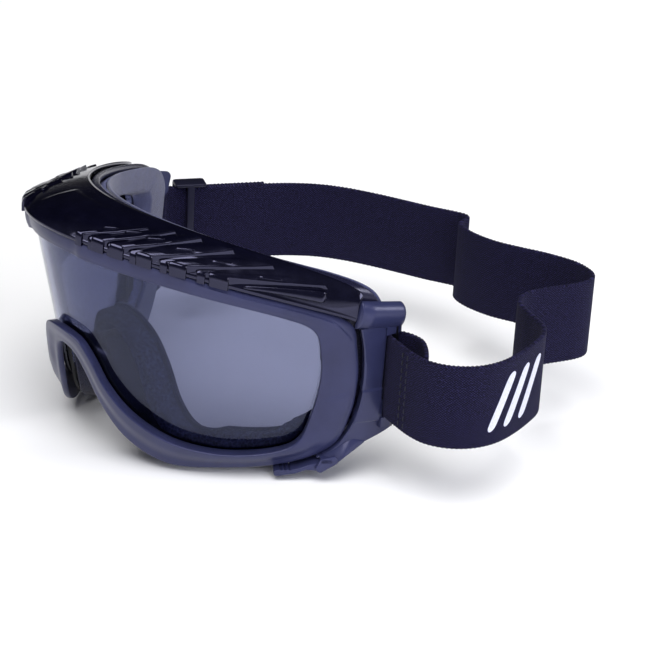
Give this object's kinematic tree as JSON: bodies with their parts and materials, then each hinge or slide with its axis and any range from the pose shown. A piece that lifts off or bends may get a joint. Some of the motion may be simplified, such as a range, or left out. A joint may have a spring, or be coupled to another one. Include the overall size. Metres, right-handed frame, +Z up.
{
  "type": "motorcycle goggles",
  "caption": "Wrap-around riding goggles: smoke lens in a removable front frame with a louvred brow, padded rear frame, strap brackets and an elastic head strap with a slider.",
  "frame": {"origin": "centre of the padded face seal, on the wearer's middle plane", "axes": "+Z up, -Y forward out of the lens, +X to the wearer's left"},
  "size_m": [0.2043, 0.2078, 0.0987],
  "materials": {
    "lens": "smoke tint, polished",
    "gasket": "matte",
    "satin_frame": "satin, blue-black",
    "gloss_brow": "gloss black",
    "foam": "open-cell foam",
    "lining": "brushed lining",
    "steel": "drawn",
    "webbing": "knitted elastic",
    "slider_plastic": "moulded",
    "print": "screen print",
    "thread": "polyester thread"
  },
  "bodies": {
    "frame": {"rear_frame": "satin_frame", "face_foam": "foam", "face_lining": "lining", "strap_bracket_left": "satin_frame", "strap_bracket_right": "satin_frame", "strap_bar_left": "steel", "strap_bar_right": "steel", "tab_pin_left": "steel", "tab_pin_right": "steel", "strap": "webbing", "strap_mark": "print", "stitching_left": "thread", "stitching_right": "thread"},
    "front": {"front_frame": "satin_frame", "brow_cap": "gloss_brow", "vent_foam_left": "foam", "vent_foam_right": "foam"},
    "lens": {"lens": "lens", "lens_gasket": "gasket"},
    "left_tab": {"release_tab_left": "satin_frame"},
    "right_tab": {"release_tab_right": "satin_frame"},
    "slider": {"strap_slider": "slider_plastic"}
  },
  "joints": [
    {"name": "front_release", "type": "slide", "parent": "frame", "child": "front", "axis": [0, -1, 0], "range_m": [0, 0.03]},
    {"name": "lens_release", "type": "slide", "parent": "frame", "child": "lens", "axis": [0, -1, 0], "range_m": [0, 0.015]},
    {"name": "left_tab_press", "type": "hinge", "parent": "frame", "child": "left_tab", "pos_m": [0.0666, 0.042, -0.041], "axis": [0.848, -0.5299, 0], "range_deg": [0, 12], "stiffness_Nm_per_rad": 0.02},
    {"name": "right_tab_press", "type": "hinge", "parent": "frame", "child": "right_tab", "pos_m": [-0.0666, 0.042, -0.041], "axis": [0.848, 0.5299, 0], "range_deg": [0, 12], "stiffness_Nm_per_rad": 0.02},
    {"name": "slider_travel", "type": "slide", "parent": "frame", "child": "slider", "axis": [0.3714, 0.9285, 0], "range_m": [0, 0.015]}
  ],
  "couplings": [
    {"joint": "lens_release", "follows": "front_release", "ratio": 0.5}
  ]
}
